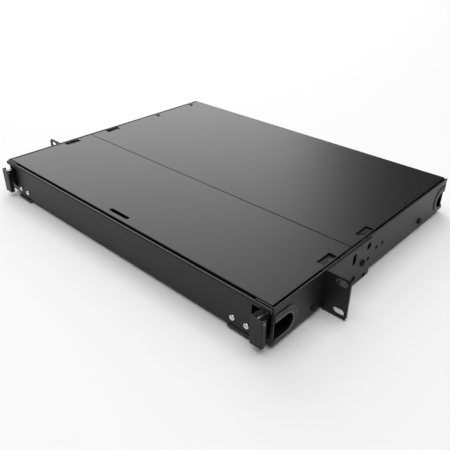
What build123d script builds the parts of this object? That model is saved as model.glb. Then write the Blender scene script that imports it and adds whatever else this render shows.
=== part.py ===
from build123d import *
import math
import os

# Rack-mount fibre termination box, one rack unit high, in millimetres.
# Working frame: X to the right, Y to the rear, Z up. Zero is the middle of the chassis'
# front edge, on the underside of the pan. save() then moves every piece so that the origin
# is the centre of the rack ears' bolt pattern, on the face that meets the rack's rails.

# Chassis
BODY_W = 431.0
BODY_D = 335.0
BODY_H = 40.5
SHEET = 1.2
HALF_W = BODY_W / 2
WALL_IN = HALF_W - SHEET
END_X = 196.0          # inner end of the front corner openings
LIP_H = 5.0            # height of the lip under each corner opening
TAB_Z = 35.0           # underside of the tab over each corner opening
TAB_TOP = 40.2
POST_W = 2.4           # width of the upright strip at the front corners
REAR_NOTCH_W = 1.3     # how far the rear ports cut into the rear wall

# Covers
COVER_Z = BODY_H - SHEET
COVER_HALF_W = 211.8
COVER_EDGE_ZS = (37.5, COVER_Z)
SEAM_Y = 123.3
SEAM_GAP = 1.1
FRONT_COVER_Y = 2.0
WINDOW_X = 206.3
WINDOW_W = 8.8
WINDOW_L = 21.0
WINDOW_FROM_SEAM = 33.8
FINGER_SLOT = (31.0, 4.8)
FINGER_SLOT_Y = 10.1
COVER_SCREW_X = 206.5
COVER_SCREW_YS = (243.5, 314.5)
PILOT_HOLE = (205.0, 304.0)    # x, y

# Cover latches and the parts that they work with
LATCH_Z = 36.7
LATCH_T = 1.0
LATCH_W = 10.2
LATCH_TRAVEL = 8.0
BEAM_HALF_DEPTH = 13.0
BEAM_Z = 38.0
BEAM_PLATE_Z = 27.0
BEAM_END_X = WALL_IN - SHEET - 0.1
RAIL_END_YS = (36.0, 322.0)
RAIL_GAP_YS = (64.0, 183.0)    # no ledge here, to clear the latches
RAIL_ZS = (32.6, 37.4)
RAIL_LEDGE_X = 203.0

# Door and hinges
DOOR_FRONT_Y = -3.0
DOOR_BOTTOM_Z = 0.6
DOOR_TOP_Z = 39.4
DOOR_HALF_W = 194.5
DOOR_STRIP_HALF_W = 215.0
DOOR_STRIP_Z = 35.6
HINGE_X = 181.2
HINGE_L = 26.0
HINGE_AXIS = (-3.2, -1.7)      # y, z
BARREL_R = 1.5
HINGE_PIN_R = 0.75
LEAF_T = 0.8
RIVET_PITCH = 16.4
RIVET_Z = 8.6

# Cable guards at the front corners
GUARD_XS = (200.0, 213.5)
GUARD_FRONT_Y = -11.7
GUARD_ZS = (2.3, 32.0)
GUARD_RETURN = 3.7
GUARD_REAR_Y = 14.0
GUARD_PIN = (-9.7, 29.0)       # y, z

# Side ports: a D that is flat towards the corner, as (radius, centre z)
PORT_MOUTH = (9.2, 15.2)       # the clear opening
PORT_RING = (10.2, 15.2)       # the grommet's web round it
PORT_HOLE = (14.4, 16.7)       # the hole in the side wall
PORT_FLANGES = (1.3, 0.8)      # how thick the teeth are inside and outside the wall
PORT_TEETH = (15.3, 17.0)      # tips of the grommet's teeth
PORT_FLAT_Y = 1.6
FRONT_PORT_Y = 18.2            # centre of the round end, from the nearer end of the chassis
REAR_PORT_Y = 11.4
TOOTH_PITCH = 2.1
TOOTH_GAP = 0.95
TEETH_ROUND_END = 18

# Rack ears
EAR_FRONT_Y = 75.3
EAR_T = 2.0
EAR_HALF_W = 241.3
EAR_H = 44.0
EAR_MID_Z = 17.8
EAR_SLOT = (12.0, 7.0)
EAR_SLOT_SPACING = (465.1, 31.75)
FLANGE_REAR_Y = 156.5
FLANGE_BOTTOM_Z = -5.0
EAR_SCREWS = ((95.0, 16.0), (140.3, 16.0))      # y, z
SIDE_SCREWS = ((59.7, 6.3), (272.0, 7.8))
SPARE_WALL_HOLES = ((170.5, 19.6), (182.5, 19.6))
EAR_HOLES = ((149.1, 31.6, 3.9), (151.0, 15.8, 2.4), (125.2, 4.4, 3.4))   # y, z, radius
EAR_LOW_HOLE = (146.4, -1.4, 2.6)
EAR_TALL_SLOT = (122.4, 28.6)
EAR_TALL_SLOT_SIZE = (12.5, 6.4)

# Adapter bulkhead
BULKHEAD_Y = 120.0
PLATE_PITCH = 138.0
PLATE_SIZE = (130.0, 35.0)
PLATE_Z = 20.2
PLATE_T = 1.6
PLATE_OPENING = (108.0, 27.0)
PLUNGER_X = 59.5
PLUNGER_TRAVEL = 5.0
ADAPTERS_PER_PLATE = 6
ADAPTER_PITCH = 17.0

# Rear bay
TRAY_XS = (-82.0, 82.0)
TRAY_YS = (180.0, 292.0)
TRAY_ZS = (4.2, 16.0)
TRAY_WALL = 1.6
CLAMP_PLACE = (172.0, 312.0)
GUIDE_FRONT = (150.0, 55.0)
GUIDE_REAR = (142.0, 262.0)

ORIGIN = (0.0, EAR_FRONT_Y + EAR_T, EAR_MID_Z)


def block(x0, x1, y0, y1, z0, z1):
    """A box between two opposite corners."""
    centre = Pos((x0 + x1) / 2, (y0 + y1) / 2, (z0 + z1) / 2)
    return centre * Box(abs(x1 - x0), abs(y1 - y0), abs(z1 - z0))


def rod_x(radius, x0, x1, y, z):
    return Pos((x0 + x1) / 2, y, z) * Rot(0, 90, 0) * Cylinder(radius, abs(x1 - x0))


def rod_y(radius, y0, y1, x, z):
    return Pos(x, (y0 + y1) / 2, z) * Rot(90, 0, 0) * Cylinder(radius, abs(y1 - y0))


def rod_z(radius, z0, z1, x, y):
    return Pos(x, y, (z0 + z1) / 2) * Cylinder(radius, abs(z1 - z0))


def plate_x(outline, x0, x1):
    """A plate between x0 and x1 whose outline is given as (y, z) points."""
    face = make_face(Polyline(*[(x0, y, z) for y, z in outline], close=True))
    return extrude(face, amount=x1 - x0, dir=(1, 0, 0))


def mirrored(shape):
    """The same piece on the other side of the box."""
    return mirror(shape, about=Plane.YZ)


def both_sides(shape):
    return [shape, mirrored(shape)]


def save(name, *shapes):
    """Write one sub-part, moved into the mounting frame, as parts/NAME.step."""
    solids = [solid for shape in shapes for solid in shape.solids()]
    moved = [Pos(-ORIGIN[0], -ORIGIN[1], -ORIGIN[2]) * solid for solid in solids]
    piece = moved[0] if len(moved) == 1 else Compound(children=moved)
    piece.label = name
    export_step(piece, f"parts/{name}.step")


def save_pair(name, right_shape):
    """Write a right-hand sub-part and its mirror image."""
    save(f"{name}_right", right_shape)
    save(f"{name}_left", mirrored(right_shape))


def pan_screw(head_r, head_h, shank_r, length):
    """A pan-head screw along Z: head above z = 0 with a cross recess, shank below."""
    head = Pos(0, 0, head_h / 2) * Cylinder(head_r, head_h)
    head = fillet(head.edges().group_by(Axis.Z)[-1], head_h * 0.45)
    recess = Pos(0, 0, head_h) * (Box(head_r * 1.1, 0.7, head_h) + Box(0.7, head_r * 1.1, head_h))
    shank = Pos(0, 0, -length / 2) * Cylinder(shank_r, length)
    return head - recess + shank


def hex_nut(across_flats, height, bore_r):
    """A hexagon nut along Z, with its lower face on z = 0."""
    blank = extrude(RegularPolygon(across_flats / math.sqrt(3), 6), amount=height)
    return blank - Pos(0, 0, height / 2) * Cylinder(bore_r, height + 1)


# ---------------------------------------------------------------- chassis

def port_body(outline, arc_y, x0, x1, flat_y=PORT_FLAT_Y):
    """The D-shaped prism of a side port: flat towards the corner, round away from it."""
    radius, z = outline
    straight = block(x0, x1, flat_y, arc_y, z - radius, z + radius)
    return straight + rod_x(radius, x0, x1, arc_y, z)


def to_rear(shape):
    """The same feature at the other end of the chassis."""
    return mirror(shape, about=Plane.XZ.offset(-BODY_D / 2))


def corner_flange():
    """The inward flange round a front corner opening: lip, upright strip and top tab."""
    plate = block(END_X, HALF_W, 0, SHEET, 0, TAB_TOP)
    opening = block(END_X - 1, HALF_W - POST_W, -1, SHEET + 1, LIP_H, TAB_Z)
    outer_edges = opening.edges().filter_by(Axis.Y).sort_by(Axis.X)[-2:]
    return plate - fillet(outer_edges, 4.0)


def ear_tall_slot():
    face = Plane.YZ * Pos(*EAR_TALL_SLOT) * SlotOverall(*EAR_TALL_SLOT_SIZE, rotation=90)
    return extrude(face, amount=300)


def side_wall():
    """The right-hand wall, with its ports, screw holes and the holes behind the ear."""
    x0 = WALL_IN - 1
    x1 = HALF_W + 1
    wall = block(WALL_IN, HALF_W, 0, BODY_D, 0, BODY_H)
    wall -= port_body(PORT_HOLE, FRONT_PORT_Y, x0, x1)
    wall -= to_rear(port_body(PORT_HOLE, REAR_PORT_Y, x0, x1, flat_y=-1))
    for y, z in EAR_SCREWS + SIDE_SCREWS:
        wall -= rod_x(2.0, x0, x1, y, z)
    for y, z in SPARE_WALL_HOLES:
        wall -= rod_x(2.4, x0, x1, y, z)
    for y, z, radius in EAR_HOLES:
        wall -= rod_x(radius, x0, x1, y, z)
    return wall - ear_tall_slot()


def chassis_pan():
    """Floor, side walls, rear wall and the two front corner flanges, bent from one sheet."""
    side = side_wall() + corner_flange()
    pan = block(-HALF_W, HALF_W, 0, BODY_D, 0, SHEET)
    pan += side + mirrored(side)
    pan += block(-END_X, END_X, 0, SHEET, 0, LIP_H)
    rear = block(-WALL_IN, WALL_IN, BODY_D - SHEET, BODY_D, 0, COVER_Z - 0.1)
    notch = to_rear(port_body(PORT_HOLE, REAR_PORT_Y, HALF_W - REAR_NOTCH_W, HALF_W + 1, flat_y=-1))
    for cut in both_sides(notch):
        rear -= cut
    pan += rear
    for x, y, z in rivet_places():
        pan -= rod_z(1.5, -1, SHEET + 1, x, y)
    pan -= rod_z(2.5, -1, SHEET + 1, *tray_stud_place())
    pan -= rod_z(2.5, -1, SHEET + 1, *ground_stud_place())
    for x, y in clamp_screw_places():
        pan -= rod_z(1.6, -1, SHEET + 1, x, y)
    return pan


def cover_rail():
    """An angle inside the side wall. Its ledge carries the covers, clear of the latches."""
    y0, y1 = RAIL_END_YS
    z0, z1 = RAIL_ZS
    rail = block(WALL_IN - SHEET, WALL_IN, y0, y1, z0, z1)
    ledge = block(RAIL_LEDGE_X, WALL_IN, y0, y1, z1 - SHEET, z1)
    rail += ledge - block(RAIL_LEDGE_X - 1, WALL_IN - SHEET, *RAIL_GAP_YS, z0, z1 + 1)
    for y in COVER_SCREW_YS:
        rail -= rod_z(1.9, z0, z1 + 1, COVER_SCREW_X, y)
    return rail


def rivet_places():
    """Feet of the cable guards and the fixed hinge leaves, as (x, y, top z) on both sides."""
    right = [(206.5, y, 2 * SHEET) for y in (5.5, 11.5)]
    right += [(HINGE_X - 7.0, 8.5, SHEET), (HINGE_X + 7.0, 8.5, SHEET)]
    return right + [(-x, y, z) for x, y, z in right]


def chassis_rivets():
    rivets = []
    for x, y, z in rivet_places():
        under = 0.0 if z > SHEET else -LEAF_T
        head = Pos(x, y, z) * Cylinder(2.6, 0.9, align=(Align.CENTER, Align.CENTER, Align.MIN))
        rivets.append(fillet(head.edges().group_by(Axis.Z)[-1], 0.5) + rod_z(1.5, under, z, x, y))
    return rivets


def port_grommet(arc_y, gap=0.1):
    """A castellated ring clipped round a side port: a web, and teeth on both wall faces."""
    x0 = WALL_IN - PORT_FLANGES[0]
    x1 = HALF_W + PORT_FLANGES[1]
    flat_y = PORT_FLAT_Y + 0.3
    mouth = port_body(PORT_MOUTH, arc_y, x0 - 1, x1 + 1, flat_y=-5.0)
    ring = port_body(PORT_RING, arc_y, x0, x1, flat_y)
    for near, far in ((x0, WALL_IN - gap), (HALF_W + gap, x1)):
        ring += port_body(PORT_TEETH, arc_y, near, far, flat_y)
    ring -= mouth
    radius, z = PORT_RING
    reach = PORT_TEETH[0] + 4.0
    slit_from = radius + 0.7
    slit = Pos(0, (slit_from + reach) / 2, 0) * Box(2 * (x1 + 1), reach - slit_from, TOOTH_GAP)
    for step in range(TEETH_ROUND_END + 1):
        angle = -90 + 180 * step / TEETH_ROUND_END
        ring -= Pos(0, arc_y, z) * Rot(angle, 0, 0) * slit
    y = arc_y - TOOTH_PITCH
    while y > flat_y + TOOTH_GAP:
        for angle in (-90, 90):
            ring -= Pos(0, y, z) * Rot(angle, 0, 0) * slit
        y -= TOOTH_PITCH
    return ring & block(x0, x1, flat_y, BODY_D, 0, BODY_H)


# ---------------------------------------------------------------- rack ears

def rack_ear():
    """The right-hand angle: a slotted ear across the front and a flange along the side."""
    low = EAR_MID_Z - EAR_H / 2
    high = EAR_MID_Z + EAR_H / 2
    ear = block(HALF_W, EAR_HALF_W, EAR_FRONT_Y, EAR_FRONT_Y + EAR_T, low, high)
    ear = fillet(ear.edges().filter_by(Axis.Y).group_by(Axis.X)[-1], 3.0)
    flange = block(HALF_W, HALF_W + EAR_T, EAR_FRONT_Y, FLANGE_REAR_Y, FLANGE_BOTTOM_Z, high)
    flange = fillet(flange.edges().filter_by(Axis.X).group_by(Axis.Y)[-1], 3.0)
    shape = ear + flange
    for sign in (-1, 1):
        z = EAR_MID_Z + sign * EAR_SLOT_SPACING[1] / 2
        face = Plane.XZ * Pos(EAR_SLOT_SPACING[0] / 2, z) * SlotOverall(*EAR_SLOT)
        shape -= extrude(face, amount=200, both=True)
    for y, z in EAR_SCREWS:
        shape -= rod_x(2.1, HALF_W - 1, HALF_W + 3, y, z)
    for y, z, radius in EAR_HOLES + (EAR_LOW_HOLE,):
        shape -= rod_x(radius, HALF_W - 1, HALF_W + 3, y, z)
    return shape - ear_tall_slot()


def side_fasteners(places, face_x, thread_end):
    """Pan-head screws driven into the right-hand wall, at (y, z) places."""
    screw = pan_screw(3.5, 2.0, 1.95, face_x - thread_end)
    return [Pos(face_x, y, z) * Rot(0, 90, 0) * screw for y, z in places]


def wall_nuts(places):
    """Hexagon nuts on the inside of the right-hand wall."""
    nut = hex_nut(7.0, 3.0, 2.0)
    return [Pos(WALL_IN, y, z) * Rot(0, -90, 0) * nut for y, z in places]


# ---------------------------------------------------------------- covers and latches

def latch_window(y):
    window = block(WINDOW_X - WINDOW_W / 2, WINDOW_X + WINDOW_W / 2,
                   y - WINDOW_L / 2, y + WINDOW_L / 2, COVER_Z - 1, BODY_H + 1)
    return fillet(window.edges().filter_by(Axis.Z), 0.6)


def cover_edge(y0, y1):
    """The turned-down right-hand edge that a cover stands on."""
    return block(COVER_HALF_W - SHEET, COVER_HALF_W, y0, y1, *COVER_EDGE_ZS)


def front_top_cover():
    cover = block(-COVER_HALF_W, COVER_HALF_W, FRONT_COVER_Y, SEAM_Y - SEAM_GAP / 2, COVER_Z, BODY_H)
    stiffener = block(-188, 188, FRONT_COVER_Y, FRONT_COVER_Y + SHEET, COVER_Z - 3.0, BODY_H)
    cover += stiffener
    for edge in both_sides(cover_edge(RAIL_END_YS[0], RAIL_GAP_YS[0])):
        cover += edge
    cover = fillet(cover.edges().filter_by(Axis.X).group_by(Axis.Z)[-1].sort_by(Axis.Y)[:1], 0.9)
    slot = Plane.XY.offset(COVER_Z - 5) * Pos(0, FINGER_SLOT_Y) * SlotOverall(*FINGER_SLOT)
    cover -= extrude(slot, amount=10)
    for window in both_sides(latch_window(SEAM_Y - WINDOW_FROM_SEAM)):
        cover -= window
    return cover


def rear_top_cover():
    cover = block(-COVER_HALF_W, COVER_HALF_W, SEAM_Y + SEAM_GAP / 2, BODY_D, COVER_Z, BODY_H)
    for edge in both_sides(cover_edge(RAIL_GAP_YS[1], RAIL_END_YS[1])):
        cover += edge
    for window in both_sides(latch_window(SEAM_Y + WINDOW_FROM_SEAM)):
        cover -= window
    for y in COVER_SCREW_YS:
        for x in (-COVER_SCREW_X, COVER_SCREW_X):
            cover -= rod_z(1.9, COVER_Z - 1, BODY_H + 1, x, y)
    for x in (-PILOT_HOLE[0], PILOT_HOLE[0]):
        cover -= rod_z(0.9, COVER_Z - 1, BODY_H + 1, x, PILOT_HOLE[1])
    return cover


def rear_cover_screws():
    screw = pan_screw(3.0, 0.6, 1.7, 4.6)
    return [Pos(x, y, BODY_H) * screw for y in COVER_SCREW_YS for x in (-COVER_SCREW_X, COVER_SCREW_X)]


def latch_guide():
    """A strap under the front cover that carries the right-hand latch."""
    y = SEAM_Y - WINDOW_FROM_SEAM
    x0 = WINDOW_X - 6.6
    x1 = WINDOW_X + 6.2
    strap = block(x0, x1, y - 6, y + 6, LATCH_Z - 1.4, COVER_Z)
    return strap - block(x0 + 1, x1 - 1, y - 7, y + 7, LATCH_Z - 0.4, COVER_Z + 1)


def cover_latch():
    """A flat bolt with a ribbed thumb pad. It slides towards the seam to lock the cover."""
    y = SEAM_Y - WINDOW_FROM_SEAM
    beam_edge = SEAM_Y - BEAM_HALF_DEPTH
    top = LATCH_Z + LATCH_T
    bolt = block(WINDOW_X - LATCH_W / 2, WINDOW_X + LATCH_W / 2, y - 15, beam_edge - 1, LATCH_Z, top)
    bolt = chamfer(bolt.edges().filter_by(Axis.Z).group_by(Axis.Y)[-1], 2.5)
    pad_y0 = y - WINDOW_L / 2 + 0.6
    pad_y1 = y + WINDOW_L / 2 - LATCH_TRAVEL - 0.6
    bolt += block(WINDOW_X - 3.9, WINDOW_X + 3.9, pad_y0, pad_y1, top, top + 0.8)
    for rib in range(4):
        rib_y = pad_y0 + 1.6 + rib * 2.6
        bolt += block(WINDOW_X - 3.2, WINDOW_X + 3.2, rib_y, rib_y + 1.0, top + 0.8, top + 1.4)
    return bolt


def across_seam(shape):
    """The rear cover's copy of a front cover part."""
    return mirror(shape, about=Plane.XZ.offset(-SEAM_Y))


def centre_beam():
    """The strip under the seam that both covers rest on and lock under."""
    y0 = SEAM_Y - BEAM_HALF_DEPTH
    y1 = SEAM_Y + BEAM_HALF_DEPTH
    return block(-BEAM_END_X, BEAM_END_X, y0, y1, BEAM_Z, BEAM_Z + SHEET)


def beam_end_plate():
    """The plate under the right-hand end of the centre beam, spot-welded to the cover rail."""
    y0 = SEAM_Y - BEAM_HALF_DEPTH
    y1 = SEAM_Y + BEAM_HALF_DEPTH
    return block(BEAM_END_X - SHEET, BEAM_END_X, y0, y1, BEAM_PLATE_Z, BEAM_Z)


# ---------------------------------------------------------------- door and hinges

def front_door():
    back = DOOR_FRONT_Y + SHEET
    door = block(-DOOR_HALF_W, DOOR_HALF_W, DOOR_FRONT_Y, back, DOOR_BOTTOM_Z, DOOR_TOP_Z)
    door += block(-DOOR_STRIP_HALF_W, DOOR_STRIP_HALF_W, DOOR_FRONT_Y, back, DOOR_STRIP_Z, DOOR_TOP_Z)
    door += block(-DOOR_STRIP_HALF_W, DOOR_STRIP_HALF_W, DOOR_FRONT_Y, -0.4, DOOR_TOP_Z - SHEET, DOOR_TOP_Z)
    top_front = door.edges().filter_by(Axis.X).group_by(Axis.Z)[-1].sort_by(Axis.Y)[:1]
    door = fillet(top_front, 1.1)
    for x, z in rivet_centres():
        door -= rod_y(1.6, DOOR_FRONT_Y - 1, back + 1, x, z)
    return door


def rivet_centres():
    xs = (HINGE_X - RIVET_PITCH / 2, HINGE_X + RIVET_PITCH / 2)
    return [(sign * x, RIVET_Z) for sign in (-1, 1) for x in xs]


def door_rivets():
    """Bright tubular rivets through the door and the hinge leaves behind it."""
    rivets = []
    inside = DOOR_FRONT_Y + SHEET + LEAF_T
    for x, z in rivet_centres():
        head = rod_y(3.1, DOOR_FRONT_Y - 1.1, DOOR_FRONT_Y, x, z)
        head = fillet(head.edges().group_by(Axis.Y)[0], 0.8)
        rivet = head + rod_y(1.6, DOOR_FRONT_Y, inside, x, z)
        rivets.append(rivet - rod_y(0.9, DOOR_FRONT_Y - 2, inside - 0.6, x, z))
    return rivets


def hinge_door_leaf():
    """The leaf behind the door, with the outer knuckle."""
    y, z = HINGE_AXIS
    x0 = HINGE_X - HINGE_L / 2
    x1 = HINGE_X + HINGE_L / 2
    back = DOOR_FRONT_Y + SHEET
    leaf = block(x0, x1, back, back + LEAF_T, 0.4, 14.0)
    knuckle = rod_x(BARREL_R, HINGE_X + 0.2, x1, y, z)
    knuckle += block(HINGE_X + 0.2, x1, back, back + LEAF_T, z, 0.5)
    leaf += knuckle - rod_x(HINGE_PIN_R, x0 - 1, x1 + 1, y, z)
    for x, rivet_z in rivet_centres():
        leaf -= rod_y(1.6, back - 1, back + LEAF_T + 1, x, rivet_z)
    return leaf


def hinge_fixed_leaf():
    """The leaf under the pan, with the inner knuckle."""
    y, z = HINGE_AXIS
    x0 = HINGE_X - HINGE_L / 2
    x1 = HINGE_X + HINGE_L / 2
    leaf = block(x0, x1, 0.4, 14.0, -LEAF_T, 0)
    knuckle = rod_x(BARREL_R, x0, HINGE_X - 0.2, y, z)
    knuckle += block(x0, HINGE_X - 0.2, y, 0.5, z - LEAF_T / 2 + 0.7, z + LEAF_T / 2 + 0.9)
    leaf += knuckle - rod_x(HINGE_PIN_R, x0 - 1, x1 + 1, y, z)
    for rivet_x in (HINGE_X - 7.0, HINGE_X + 7.0):
        leaf -= rod_z(1.5, -2, 1, rivet_x, 8.5)
    return leaf


def hinge_pin():
    y, z = HINGE_AXIS
    return rod_x(HINGE_PIN_R - 0.04, HINGE_X - HINGE_L / 2, HINGE_X + HINGE_L / 2, y, z)


# ---------------------------------------------------------------- cable guards

def cable_guard():
    """A hook in front of the corner opening. Its inner arm runs back to a foot on the floor."""
    x0, x1 = GUARD_XS
    z0, z1 = GUARD_ZS
    flange_y = GUARD_FRONT_Y + SHEET + GUARD_RETURN
    front = block(x0, x1, GUARD_FRONT_Y, GUARD_FRONT_Y + SHEET, z0, z1)
    outer_return = block(x1 - SHEET, x1, GUARD_FRONT_Y, flange_y, z0, z1)
    arm_outline = [(GUARD_FRONT_Y, z0), (flange_y, z0), (flange_y, 15.0), (-1.2, 6.2), (2.4, 6.2),
                   (2.4, SHEET), (GUARD_REAR_Y, SHEET), (GUARD_REAR_Y, z1), (GUARD_FRONT_Y, z1)]
    arm = plate_x(arm_outline, x0, x0 + SHEET)
    foot = block(x0, 211.0, 3.0, GUARD_REAR_Y, SHEET, 2 * SHEET)
    shelf = block(x0, 210.0, 8.0, GUARD_REAR_Y, z1 - 2 * SHEET, z1 - SHEET)
    guard = front + outer_return + arm + foot + shelf
    corners = guard.edges().filter_by(Axis.Z).group_by(Axis.Y)[0]
    guard = fillet(corners, 1.1)
    guard -= rod_x(0.9, x0 - 1, x1 + 1, *GUARD_PIN)
    for x, y, z in rivet_places()[:2]:
        guard -= rod_z(1.5, 0, 4, x, y)
    return guard


def guard_pin():
    pin = rod_x(0.9, GUARD_XS[0] - 0.3, GUARD_XS[1] + 0.3, *GUARD_PIN)
    return fillet(pin.edges(), 0.25)


def guard_spring():
    """A bronze leaf over the guard that keeps the patch cords from lifting out."""
    top = GUARD_ZS[1] - SHEET
    y0 = GUARD_FRONT_Y + SHEET + 0.2
    leaf = block(204.6, 208.4, 8.4, GUARD_REAR_Y, top, top + 0.6)
    return leaf + block(205.8, 207.2, y0, 8.4, top, top + 0.6)


# ---------------------------------------------------------------- adapters

def plate_centres():
    return {"left": -PLATE_PITCH, "middle": 0.0, "right": PLATE_PITCH}


def adapter_bulkhead():
    """The cross wall between patching bay and splice bay."""
    end = WALL_IN - SHEET - 0.3
    y1 = BULKHEAD_Y + SHEET
    wall = block(-end, end, BULKHEAD_Y, y1, SHEET, 26.0)
    wall += block(-199.0, 199.0, BULKHEAD_Y, y1, SHEET, BEAM_Z)
    wall += block(-end, end, BULKHEAD_Y, BULKHEAD_Y + 10, SHEET, 2 * SHEET)
    wall += block(-199.0, 199.0, BULKHEAD_Y, BULKHEAD_Y + 10, BEAM_Z - SHEET, BEAM_Z)
    for x in plate_centres().values():
        width, height = PLATE_OPENING
        wall -= block(x - width / 2, x + width / 2, BULKHEAD_Y - 1, y1 + 1,
                      PLATE_Z - height / 2, PLATE_Z + height / 2)
        for sign in (-1, 1):
            wall -= rod_y(2.6, BULKHEAD_Y - 1, y1 + 1, x + sign * PLUNGER_X, PLATE_Z)
    return wall


def adapter_centres(plate_x_centre):
    first = plate_x_centre - (ADAPTERS_PER_PLATE - 1) * ADAPTER_PITCH / 2
    return [first + index * ADAPTER_PITCH for index in range(ADAPTERS_PER_PLATE)]


def adapter_plate(x):
    width, height = PLATE_SIZE
    y0 = BULKHEAD_Y - PLATE_T
    plate = block(x - width / 2, x + width / 2, y0, BULKHEAD_Y, PLATE_Z - height / 2, PLATE_Z + height / 2)
    plate = fillet(plate.edges().filter_by(Axis.Y), 3.0)
    for centre in adapter_centres(x):
        plate -= block(centre - 6.6, centre + 6.6, y0 - 1, BULKHEAD_Y + 1, PLATE_Z - 4.8, PLATE_Z + 4.8)
    for sign in (-1, 1):
        plate -= rod_y(2.6, y0 - 1, BULKHEAD_Y + 1, x + sign * PLUNGER_X, PLATE_Z)
    return plate


def duplex_adapter(x):
    """A duplex adapter: a body through the plate, a stop flange in front and two bores each end."""
    face = BULKHEAD_Y - PLATE_T
    body = block(x - 6.5, x + 6.5, face - 10, face + 16, PLATE_Z - 4.7, PLATE_Z + 4.7)
    body += block(x - 7.6, x + 7.6, face - 1.6, face - 0.1, PLATE_Z - 6.4, PLATE_Z + 6.4)
    for sign in (-1, 1):
        for y0, y1 in ((face - 11, face - 3), (face + 9, face + 17)):
            body -= block(x + sign * 3.2 - 2.3, x + sign * 3.2 + 2.3, y0, y1, PLATE_Z - 2.5, PLATE_Z + 2.5)
    return body


def dust_cap(x, mouth_y, outward):
    """A duplex cap whose two plugs sit in the adapter's bores."""
    inner = mouth_y - outward * 6
    outer = mouth_y + outward * 4
    cap = block(x - 5.9, x + 5.9, *sorted((mouth_y + outward * 0.1, outer)), PLATE_Z - 3.6, PLATE_Z + 3.6)
    cap = fillet(cap.edges().filter_by(Axis.Y), 1.0)
    for sign in (-1, 1):
        plug = block(x + sign * 3.2 - 2.2, x + sign * 3.2 + 2.2, *sorted((inner, outer)),
                     PLATE_Z - 2.4, PLATE_Z + 2.4)
        cap += plug
    return cap


def plunger(x):
    """A push-pull plunger. Its split tip locks behind the bulkhead."""
    face = BULKHEAD_Y - PLATE_T
    body = rod_y(3.8, face - 6.0, face - 0.4, x, PLATE_Z)
    body = fillet(body.edges().group_by(Axis.Y)[0], 1.2)
    body += rod_y(2.5, face - 0.5, BULKHEAD_Y + 6.0, x, PLATE_Z)
    return body - block(x - 0.4, x + 0.4, BULKHEAD_Y, BULKHEAD_Y + 7, PLATE_Z - 3, PLATE_Z + 3)


# ---------------------------------------------------------------- fibre management

def fibre_guide(x, y):
    """A half-round bend guide on the floor, round towards the rear, with three lips on top."""
    outer = 30.0
    top = 27.0
    ring = rod_z(outer, SHEET, top, x, y) - rod_z(outer - 2, 0, top + 1, x, y)
    foot = rod_z(outer, SHEET, SHEET + 1.6, x, y) - rod_z(outer - 9, 0, 4.0, x, y)
    rim = rod_z(outer + 5, top - 1.6, top, x, y) - rod_z(outer - 1, top - 2, top + 1, x, y)
    guide = ring + foot
    for angle in (30, 90, 150):
        guide += rim & (Pos(x, y, top) * Rot(0, 0, angle) * Pos(outer + 2, 0, 0) * Box(8, 10, 5))
    return guide & block(x - outer - 6, x + outer + 6, y, y + outer + 6, 0, top + 1)


def tray_stud_place():
    return (0.0, (TRAY_YS[0] + TRAY_YS[1]) / 2)


def ground_stud_place():
    return (-150.0, 316.0)


def clamp_screw_places():
    x, y = CLAMP_PLACE
    return [(sign * (x + offset), y) for sign in (-1, 1) for offset in (-10.5, 10.5)]


def splice_tray():
    x0, x1 = TRAY_XS
    y0, y1 = TRAY_YS
    z0, z1 = TRAY_ZS
    shell = fillet(block(x0, x1, y0, y1, z0, z1).edges().filter_by(Axis.Z), 14.0)
    hollow = block(x0 + TRAY_WALL, x1 - TRAY_WALL, y0 + TRAY_WALL, y1 - TRAY_WALL, z0 + TRAY_WALL, z1 + 1)
    tray = shell - fillet(hollow.edges().filter_by(Axis.Z), 12.4)
    centre = tray_stud_place()
    tray += rod_z(9.0, z0, z1, *centre)
    for x in (-40.0, 40.0):
        tray += rod_z(16.0, z0, z1 - 3, x, centre[1]) - rod_z(14.4, z0 - 1, z1, x, centre[1])
    for x in (x0 + 12, x1 - 12):
        tray += block(x - 8, x + 8, y0 + 8, y0 + 24, 0 + SHEET, z0 + 0.1)
        tray += block(x - 8, x + 8, y1 - 24, y1 - 8, 0 + SHEET, z0 + 0.1)
    for y in (y0 - 1, y1 - TRAY_WALL - 1):
        for x in (-60.0, 60.0):
            tray -= block(x - 6, x + 6, y, y + TRAY_WALL + 2, z0 + 4, z1 + 1)
    return tray - rod_z(2.7, z0 - 1, z1 + 1, *centre)


def splice_tray_lid():
    x0, x1 = TRAY_XS
    y0, y1 = TRAY_YS
    z1 = TRAY_ZS[1]
    lid = fillet(block(x0, x1, y0, y1, z1, z1 + 1.5).edges().filter_by(Axis.Z), 14.0)
    return lid - rod_z(2.7, z1 - 1, z1 + 3, *tray_stud_place())


def splice_holders():
    """Two combs of twelve grooves for the fusion splice sleeves."""
    holders = []
    z0 = TRAY_ZS[0] + TRAY_WALL
    for y0 in (TRAY_YS[0] + 5, TRAY_YS[1] - 29):
        comb = block(-30, 30, y0, y0 + 24, z0, z0 + 6.5)
        for groove in range(12):
            x = -27.5 + groove * 5.0
            comb -= rod_y(1.7, y0 - 1, y0 + 25, x, z0 + 5.4)
        holders.append(comb)
    return holders


def tray_stud():
    stud = rod_z(2.5, 0, TRAY_ZS[1] + 9.0, *tray_stud_place())
    return chamfer(stud.edges().group_by(Axis.Z)[-1], 0.5)


def tray_wing_nut():
    x, y = tray_stud_place()
    z = TRAY_ZS[1] + 1.5
    nut = rod_z(5.5, z, z + 5, x, y)
    for sign in (-1, 1):
        outline = [(4.0, 0.5), (13.0, 4.0), (14.0, 11.0), (9.0, 9.0), (4.0, 4.8)]
        points = [(x + sign * dx, y - 0.9, z + dz) for dx, dz in outline]
        nut += extrude(make_face(Polyline(*points, close=True)), amount=1.8, dir=(0, 1, 0))
    return nut - rod_z(2.5, z - 1, z + 8, x, y)


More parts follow.
